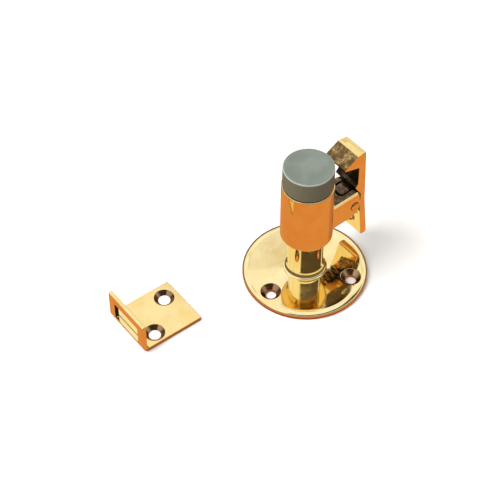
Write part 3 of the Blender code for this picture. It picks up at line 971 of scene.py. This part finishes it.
@dataclass
class HookLatch(SubAssembly):
    """Hook, strip, thumb tail and pivot lug in one casting, with its pin and its spring."""

    width: float = 11.6 * MM
    top: float = 26.6 * MM
    land: float = 4.4 * MM
    outer_top: float = 4.8 * MM
    strip: float = 3.4 * MM
    nose_reach: float = 6.0 * MM
    nose_height: float = 22.6 * MM
    nose_thickness: float = 0.5 * MM
    root_height: float = 20.1 * MM
    tooth_reach: float = 1.1 * MM
    tooth_height: float = 10.0 * MM
    tooth_face: float = 0.7 * MM
    strip_inner_at_pin: float = 3.2 * MM
    strip_at_pin: float = 2.6 * MM
    tail_length: float = 20.4 * MM
    tail_flare: float = 2.2 * MM
    tail_thickness: float = 3.1 * MM
    tail_tip: float = 1.1 * MM
    lug_radius: float = 4.2 * MM
    lug_corner: float = 1.0 * MM
    lug_top: float = 6.1 * MM
    lug_fillet: float = 1.6 * MM
    lug_width: float = 5.0 * MM
    above_cheeks: float = 4.7 * MM
    below_cheeks: float = 5.4 * MM
    back_bow: float = 0.1 * MM
    back_radius: float = 30 * MM
    root_corner: float = 0.5 * MM
    lug_shoulder: float = 0.8 * MM
    outer_corner: float = 0.7 * MM
    outer_edge: float = 0.6 * MM
    inner_edge: float = 0.22 * MM
    pin_fit: float = 0.2 * MM
    pin_shy: float = 0.05 * MM
    pin_crown: float = 0.9 * MM
    pin_flank: float = 0.72
    spring_play: float = 0.3 * MM
    closed_turns: float = 1.0
    open_turns: float = 6.5
    flat_pitch: float = 2.2
    turn_steps: int = 28
    wire_segments: int = 12

    def build(self) -> None:
        """Build and dress the hook, the pin and the spring."""
        hook = self.hook()
        self.dress(hook, PolishedBrass("hook_mopped_brass", Grain.UPRIGHT).make(),
                   CastBrass("hook_ramp_cast_brass").make(),
                   PAINTED_SHADE_BRASS.make(), SKIN_BRASS.make())
        self.sort_faces(hook)
        self.smooth(hook, self.inner_edge, radians(42), 3)
        hook.data.transform(Matrix.Translation(HINGE.pin_axis))
        self.settle(hook, "latch_hook", Slot.CAST, Body.LATCH)
        pin = self.pin()
        self.smooth(pin, angle=radians(28))
        self.dress(pin, PolishedBrass("pin_brass", wave_height=0.02 * MM).make(), PAINTED_SHADE_BRASS.make())
        # Painted dark reflection: the crown's steep flanks take the nearly black brass
        self.number(pin, 1, lambda face: abs(face.normal.y) < self.pin_flank)
        self.settle(pin, "pivot_pin", Slot.CAST, Body.HOLDER)
        spring = self.spring()
        self.smooth(spring, angle=radians(50))
        self.dress(spring, DrawnSteel("spring_steel").make())
        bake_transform(spring)
        self.settle(spring, "latch_spring", Slot.STEEL)

    @property
    def strip_inner(self) -> float:
        """How far the strip's inner face stands out from the pin, above the lug."""
        return self.outer_top - self.strip

    @property
    def tooth(self) -> float:
        """How far the lug's shoulder stands out from the pin."""
        return self.strip_inner - self.tooth_reach

    def outline(self) -> list[Point]:
        """Lay out the side outline round the pin.

        Returns:
            The points (across, up), from the nose over the land, down the tail and back.
        """
        outer = self.strip_inner_at_pin + self.strip_at_pin
        tip = outer + self.tail_flare
        corners = [(-self.nose_reach, self.nose_height, 0),
                   (-self.nose_reach, self.nose_height + self.nose_thickness, 0),
                   (self.outer_top - self.land, self.top, 0), (self.outer_top, self.top, self.outer_corner),
                   (outer + self.back_bow, 0, self.back_radius),
                   (tip, -self.tail_length, self.tail_tip),
                   (tip - self.tail_thickness, -self.tail_length, self.tail_tip),
                   (self.strip_inner_at_pin, -self.below_cheeks, 0),
                   (self.strip_inner_at_pin, self.above_cheeks, 0),
                   (self.tooth, self.tooth_height - self.tooth_face, 0), (self.tooth, self.tooth_height, 0),
                   (self.strip_inner, self.tooth_height + self.tooth_reach, 0),
                   (self.strip_inner, self.root_height, self.root_corner)]
        return rounded(corners, 8)

    def lug_outline(self) -> list[Point]:
        """Side outline of the lug that turns on the pin.

        Returns:
            The points (across, up) round the pin.
        """
        inside = self.strip_inner_at_pin + self.strip_at_pin / 2
        hub = arc((0, 0), (self.lug_radius,) * 2, 270, 180, 12)
        top = rounded([(-self.lug_radius, 0, 0), (-self.lug_radius, self.lug_top, self.lug_shoulder),
                       (self.tooth, self.lug_top, self.lug_fillet),
                       (self.tooth + self.tooth_face, self.tooth_height - self.tooth_face, 0)])
        return [*hub, *top[1:], (inside, self.tooth_height - self.tooth_face), (inside, -self.lug_radius)]

    def hook(self) -> Object:
        """Shape the hook round the pin and join its lug on.

        Returns:
            The hook, still round the pin's axis.
        """
        form = slab(self.outline(), -self.width / 2, self.width / 2)
        outer = self.outer_top - self.outer_corner - TINY

        def on_back(edge: BMEdge) -> bool:
            """Whether an edge bounds the outer face of the strip and tail."""
            first, second = (vert.co for vert in edge.verts)
            return abs(first.y - second.y) < TINY and min(first.x, second.x) > outer

        soften(form, self.outer_edge, on_back, 4)
        item = to_object("latch_hook_cast", form)
        lug = to_object("lug", slab(self.lug_outline(), -self.width / 2, self.width / 2))
        half = self.lug_width / 2
        plan = soft_ended(-self.lug_radius, self.strip_inner_at_pin + self.strip_at_pin / 2, half,
                          self.lug_corner)
        bar = slab(plan, -2 * self.lug_radius, 2 * self.tooth_height, True)
        carve(lug, bar, "INTERSECT")
        joined = bmesh.new()
        joined.from_mesh(lug.data)
        bpy.data.meshes.remove(lug.data)
        carve(item, joined, "UNION")
        carve(item, rod(HINGE.pin_radius + self.pin_fit, Vector((0, -self.width, 0)),
                        Vector((0, 1, 0)), 2 * self.width))
        seat = HINGE.seat_end + HINGE.spring_way * self.spring_play - HINGE.pin_axis
        carve(item, rod(HINGE.spring_outer + self.spring_play, seat, -HINGE.spring_way,
                        4 * HINGE.seat_depth))
        return item

    def sort_faces(self, item: Object) -> None:
        """Number the faces: 0 polished, 1 raw ramp, 2 inside of the strip, undersides and the lug's sides,
        painted dark as shade, 3 raw top of the lug.

        Args:
            item: The hook, still round the pin's axis.
        """
        ramp_low, lug_high = self.nose_height + self.nose_thickness / 2, self.lug_top + self.tooth_face
        for face in item.data.polygons:
            centre, way = face.center, face.normal
            above = centre.z > -self.lug_radius - CLEAR
            inside = centre.x < self.strip_inner_at_pin - CLEAR
            on_lug = inside and abs(centre.y) < self.lug_width / 2 + NEAR
            if way.x < -LEANING and way.z > LEANING and centre.z > ramp_low:
                face.material_index = 1
            elif on_lug and way.z > NEARLY_LEVEL and self.lug_radius < centre.z < lug_high:
                face.material_index = 3
            # Painted shade: the strip's inner face, the undersides and the lug's sides take the nearly
            # black brass
            elif above and abs(way.y) < STEEP and (way.x < -LEANING or way.z < -0.5):
                face.material_index = 2
            elif on_lug and centre.z < self.tooth_height - CLEAR:
                face.material_index = 2

    def pin(self) -> Object:
        """Turn the pin, with its ends peened to a round crown that stands proud of the cheeks.

        Returns:
            The pin in its place.
        """
        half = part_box("pivot_pin")[1].y
        radius = HINGE.pin_radius + self.pin_fit - self.pin_shy
        crown = arc((0, half - self.pin_crown), (radius, self.pin_crown), 0, 90, 10)[:-1]
        lower = [(across, -height) for across, height in crown[::-1]]
        form = turned([(0.0, -half), *lower, *crown, (0.0, half)], BORE_SEGMENTS)
        form.transform(Matrix.Translation(HINGE.pin_axis) @ Matrix.Rotation(-pi / 2, 4, "X"))
        return to_object("pivot_pin_peened", form)

    def spring(self) -> Object:
        """Wind the spring: a flat turn, the open turns and another flat turn.

        Returns:
            The spring in its place.
        """
        form = bmesh.new()
        wire = HINGE.wire_radius
        ring = bmesh.ops.create_circle(form, segments=self.wire_segments, radius=wire, cap_ends=True,
                                       matrix=Matrix.Translation((HINGE.spring_radius, 0, wire))
                                       @ Matrix.Rotation(pi / 2, 4, "X"))
        section: list = [*ring["verts"], *form.edges, *form.faces]
        flat_rise = self.flat_pitch * wire
        open_rise = HINGE.spring_length - 2 * wire - 2 * flat_rise
        for turns, rise in ((self.closed_turns, flat_rise), (self.open_turns, open_rise),
                            (self.closed_turns, flat_rise)):
            count = round(turns * self.turn_steps)
            wound = bmesh.ops.spin(form, geom=section, cent=(0, 0, 0), axis=(0, 0, 1), steps=count,
                                   dvec=(0, 0, rise / count), angle=2 * pi * turns)
            section = wound["geom_last"]
        bmesh.ops.recalc_face_normals(form, faces=form.faces)
        form.transform(along(HINGE.spring_way, HINGE.pocket_end))
        return to_object("latch_spring_wound", form)


@dataclass
class BufferHead(SubAssembly):
    """Rubber buffer and the insert that is moulded into it."""

    edge: float = 0.40 * MM
    foot_edge: float = 0.25 * MM
    dish: float = 0.25 * MM
    dish_width: float = 3.2 * MM
    gate_radius: float = 1.1 * MM
    gate_depth: float = 0.10 * MM
    insert_radius: float = 6.0 * MM
    insert_thickness: float = 1.5 * MM
    insert_stud: float = 1.9 * MM
    stud_root: float = 0.2 * MM
    disc_edge: float = 0.2 * MM
    thread_depth: float = 0.25 * MM
    thread_pitch: float = 0.7 * MM
    land_width: float = 0.5 * MM
    play: float = 0.3 * MM

    def build(self) -> None:
        """Build and dress the rubber and its insert."""
        rubber = self.rubber()
        self.smooth(rubber, angle=radians(38))
        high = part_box("rubber_buffer")[1]
        self.dress(rubber, MouldedRubber("moulded_rubber", high.x, high.z).make())
        self.settle(rubber, "rubber_buffer", Slot.RUBBER, Body.HOLDER)
        insert = self.insert()
        self.smooth(insert, angle=radians(35))
        self.dress(insert, DrawnSteel("insert_steel").make())
        self.settle(insert, "buffer_insert", Slot.STEEL, Body.HOLDER)

    def rubber(self) -> Object:
        """Turn the rubber: a soft outer edge, a shallow dish and the mark of the mould's gate.

        Returns:
            The rubber with its recess.
        """
        low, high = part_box("rubber_buffer")
        radius, bottom, top = high.x, low.z, high.z
        recess = self.insert_thickness + self.play
        face = top - self.dish
        land = radius - self.edge - self.land_width
        foot = eased(radius, bottom, self.foot_edge, 4, False)
        rim = eased(radius, top, self.edge, 6)
        slope = [(land - self.dish_width * share, top - self.dish * (3 - 2 * share) * share ** 2)
                 for share in (step / 8 for step in range(9))]
        gate = arc((0, face), (self.gate_radius, self.gate_depth), 0, -90, 6)
        profile = [(0, bottom + recess), (self.insert_radius + self.play, bottom + recess),
                   (self.insert_radius + self.play, bottom), *foot, *rim, *slope, *gate[:-1],
                   (0, gate[-1][1])]
        return to_object("rubber_buffer_moulded", turned(profile))

    def insert(self) -> Object:
        """Insert as a disc on a threaded stud.

        Returns:
            The insert in its place.
        """
        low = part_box("buffer_insert")[0].z
        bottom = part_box("rubber_buffer")[0].z
        ease, top = self.disc_edge, bottom + self.insert_thickness
        item = threaded_bar("buffer_insert_threaded", self.insert_stud, low, bottom + self.stud_root,
                            self.thread_depth, self.thread_pitch)
        disc = turned([(0, bottom), (self.insert_radius - ease, bottom),
                       (self.insert_radius, bottom + ease), (self.insert_radius, top - ease),
                       (self.insert_radius - ease, top), (0, top)], BORE_SEGMENTS)
        carve(item, disc, "UNION")
        return item


@dataclass
class Keeper(SubAssembly):
    """Bent plate with a slot for the hook's nose and two countersunk holes."""

    turn: float = radians(-2)
    length: float = 27.2 * MM
    width: float = 23.0 * MM
    thickness: float = 1.7 * MM
    flange_height: float = 14.7 * MM
    bend_radius: float = 1.2 * MM
    plate_corner: float = 0.5 * MM
    slot_length: float = 15.2 * MM
    slot_height: float = 8.0 * MM
    slot_bottom: float = 3.2 * MM
    slot_corner: float = 0.5 * MM
    screw_places: tuple[Point, ...] = ((7.8 * MM, 5.4 * MM), (-5.2 * MM, -6.6 * MM))
    edge: float = 0.36 * MM
    hole: ScrewHole = ScrewHole()

    def build(self) -> None:
        """Build and dress the plate."""
        item = self.plate()
        # The plate's edges, below its thickness, get the painted shade of the table
        self.dress(item, PolishedBrass("keeper_brass", wave_size=9 * MM, foot=self.thickness).make(),
                   SINK_BRASS.make(), PAINTED_SHADE_BRASS.make())
        # The screw holes take the countersink brass, darkened as painted shade
        self.number(item, 1, self.in_sink)
        # Painted shade: the side walls of the flange's slot take the nearly black brass
        self.number(item, 2, self.in_window)
        self.smooth(item, self.edge, radians(42), 3)
        low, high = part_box("keeper_plate")
        middle = Vector(((low.x + high.x) / 2, (low.y + high.y) / 2, 0.0))
        item.data.transform(Matrix.Translation(middle) @ Matrix.Rotation(self.turn, 4, "Z"))
        self.settle(item, "keeper_plate", Slot.POLISHED, Body.KEEPER)

    @property
    def wall_x(self) -> float:
        """Where the flange's inner face stands, on the plate before it is placed."""
        return self.thickness - self.length / 2

    def in_sink(self, face: MeshPolygon) -> bool:
        """Whether a face belongs to a screw hole, on the plate before it is placed."""
        return any(self.hole.holds(face, Vector((x, y, 0.0))) for x, y in self.screw_places)

    def in_window(self, face: MeshPolygon) -> bool:
        """Whether a face belongs to a side wall of the flange's slot, on the plate before it is placed.

        Args:
            face: The face.

        Returns:
            True if it does.
        """
        x, y, z = face.center
        half = self.slot_height / 2 + NEAR
        beside = abs(y) < self.slot_length / 2 + NEAR and abs(face.normal.y) > 0.5
        return beside and abs(z - self.slot_bottom - self.slot_height / 2) < half and x < self.wall_x

    def plate(self) -> Object:
        """Bend the plate, round its corners and open its slot and holes.

        Returns:
            The plate, before it is placed.
        """
        half, wall_x, outer = self.length / 2, self.wall_x, self.bend_radius + self.thickness
        outline = rounded([(-half, 0, outer), (-half, self.flange_height, 0),
                           (wall_x, self.flange_height, 0), (wall_x, self.thickness, self.bend_radius),
                           (half, self.thickness, 0), (half, 0, 0)], 10)
        form = slab(outline, -self.width / 2, self.width / 2)

        def on_corner(edge: BMEdge) -> bool:
            """Whether an edge is one of the four short ones at the plate's and flange's corners.

            Args:
                edge: The edge.

            Returns:
                True if it is.
            """
            first, second = (vert.co for vert in edge.verts)
            far = min(first.x, second.x) > half - TINY or min(first.z, second.z) > self.flange_height - TINY
            return abs(first.y - second.y) < TINY and far

        soften(form, self.plate_corner, on_corner, 5)
        item = to_object("keeper_plate_bent", form)
        reach = self.slot_length / 2
        top = self.slot_bottom + self.slot_height
        corners = [(-reach, self.slot_bottom), (reach, self.slot_bottom), (reach, top), (-reach, top)]
        window = slab(rounded([(y, z, self.slot_corner) for y, z in corners], 5),
                      -half - 2 * self.thickness, 2 * self.thickness - half)
        window.transform(Matrix.Rotation(-pi / 2, 4, "Z"))
        bmesh.ops.recalc_face_normals(window, faces=window.faces)
        carve(item, window)
        for x, y in self.screw_places:
            carve(item, self.hole.cutter(Vector((x, y, self.thickness)), self.thickness))
        return item


# ---- Studio ----
@dataclass
class Studio:
    """Pale table, soft light all round and the camera."""

    azimuth: float = -39.44
    elevation: float = 48.73
    distance: float = 0.6057
    lens: float = 112.4
    clip_start: float = 0.01
    aim: tuple[float, float, float] = (-0.0208, 0.0095, 0.0198)
    floor_size: float = 3.0
    floor_drop: float = 0.05 * MM
    floor_grain: float = 40 * MM
    floor_bump: float = 0.01 * MM
    floor_roughness: Point = (0.9, 0.95)
    floor_colours: tuple[Colour, Colour] = ((0.90, 0.90, 0.90), (0.93, 0.93, 0.925))
    white: Colour = (1.10, 1.09, 1.08)
    below: Colour = (0.78, 0.32, 0.11)
    shade: Colour = (0.10, 0.075, 0.055)
    horizon: Colour = (0.19, 0.15, 0.095)
    shade_turn: float = 5.0
    fold: Colour = (0.84, 0.77, 0.65)
    fold_scale: float = 7.0
    dusk: Colour = (0.54, 0.20, 0.08)
    dusk_turn: float = 115.0
    belt_bands: tuple[Point, Point] = ((0.88, 0.82), (0.52, 0.60))
    shade_band: Point = (0.20, 0.34)
    dusk_band: Point = (0.60, 0.90)
    fold_band: Point = (0.54, 0.66)
    horizon_band: Point = (0.42, 0.28)
    table_band: Point = (-0.10, -0.45)
    level_band: Point = (0.03, -0.03)
    key_bearing: Point = (-110.0, 55.0)
    key_distance: float = 0.9
    key_side: float = 0.55
    key_power: float = 9.0

    def direction(self, azimuth: float, elevation: float) -> Vector:
        """Unit vector towards a place round the object, from its bearing and height in degrees."""
        turn, rise = radians(azimuth), radians(elevation)
        return Vector((sin(turn) * cos(rise), -cos(turn) * cos(rise), sin(rise)))

    def build(self) -> None:
        """Set up the floor, the light and the camera."""
        self.floor()
        self.surroundings()
        self.key_light()
        self.camera()
        bpy.context.scene.view_settings.view_transform = "Standard"
        LOG.info("studio ready")

    def floor(self) -> None:
        """Lay the pale floor, which polished metal doesn't mirror."""
        form = bmesh.new()
        bmesh.ops.create_grid(form, x_segments=1, y_segments=1, size=self.floor_size / 2)
        bmesh.ops.translate(form, verts=form.verts, vec=(0, 0, CAD_BOX[0][2] - self.floor_drop))
        item = to_object("floor", form)
        graph = Graph(bpy.data.materials.new("pale_floor"))
        tone = graph.noise(self.floor_grain, 3.0)
        colour = graph.mix(tone, *self.floor_colours)
        roughness = graph.spread(tone, 0, 1, *self.floor_roughness)
        item.data.materials.append(graph.finish(colour, roughness, graph.bump(tone, self.floor_bump)))
        item.visible_glossy = False

    def surroundings(self) -> None:
        """Light the object from a white dome with a shaded side, and a warm brown from below."""
        world = bpy.data.worlds.new("studio")
        bpy.context.scene.world = world
        graph = Graph(world, "Generated")
        across, along_y, height = graph.node("ShaderNodeSeparateXYZ", {0: graph.place}).outputs
        flat = graph.node("ShaderNodeCombineXYZ", {0: across, 1: along_y}).outputs[0]
        level = graph.node("ShaderNodeVectorMath", {0: flat}, operation="NORMALIZE").outputs["Vector"]
        waves = {"Vector": graph.place, "Scale": self.fold_scale, "Detail": 1.0, "Distortion": 1.5}
        folds = graph.node("ShaderNodeTexNoise", waves).outputs["Fac"]

        def facing(bearing: float, band: Point) -> NodeSocket:
            """How far a direction points to a bearing.

            Args:
                bearing: The bearing in degrees.
                band: Cosines between which the result rises.

            Returns:
                A value from 0 to 1.
            """
            ends = {0: level, 1: self.direction(bearing, 0.0)}
            dot = graph.node("ShaderNodeVectorMath", ends, operation="DOT_PRODUCT").outputs["Value"]
            return graph.spread(dot, *band)

        belt = graph.math("MULTIPLY", *(graph.spread(height, *band) for band in self.belt_bands))
        wall = graph.math("MULTIPLY", facing(self.shade_turn, self.shade_band), belt)
        dome = graph.mix(graph.spread(folds, *self.fold_band), self.white, self.fold)
        dome = graph.mix(wall, dome, self.shade)
        dome = graph.mix(graph.spread(height, *self.horizon_band), dome, self.horizon)
        table = graph.mix(facing(self.dusk_turn, self.dusk_band), self.below, self.dusk)
        lower = graph.mix(graph.spread(height, *self.table_band), self.horizon, table)
        colour = graph.mix(graph.spread(height, *self.level_band), dome, lower)
        graph.tree.links.new(colour, graph.tree.nodes["Background"].inputs["Color"])

    def key_light(self) -> None:
        """Hang the square softbox that faces the object."""
        light = bpy.data.lights.new("key_softbox", "AREA")
        light.shape, light.size, light.energy = "SQUARE", self.key_side, self.key_power
        item = bpy.data.objects.new("key_softbox", light)
        item.visible_glossy = False
        self.hang(item, self.direction(*self.key_bearing), self.key_distance)

    def camera(self) -> None:
        """Set up the camera."""
        data = bpy.data.cameras.new("camera")
        data.lens, data.clip_start = self.lens, self.clip_start
        item = bpy.data.objects.new("camera", data)
        self.hang(item, self.direction(self.azimuth, self.elevation), self.distance)
        bpy.context.scene.camera = item

    def hang(self, item: Object, way: Vector, distance: float) -> None:
        """Put a light or the camera where it faces the object.

        Args:
            item: The light or camera.
            way: Direction from the object to it.
            distance: How far away it is.
        """
        item.location = Vector(self.aim) + way * distance
        item.rotation_euler = (-way).to_track_quat("-Z", "Y").to_euler()
        bpy.context.scene.collection.objects.link(item)


def main() -> None:
    """Build every sub-assembly in order, then the studio."""
    logging.basicConfig(level=logging.INFO, format="%(name)s: %(message)s")
    Studio().build()
    for assembly in (BaseAndNeck(), BodyAndArm(), BufferHead(), HookLatch(), Keeper()):
        assembly.build()
        LOG.info("%s: %s", type(assembly).__name__, ", ".join(piece.name for piece in assembly.pieces))


if __name__ == "__main__":
    main()
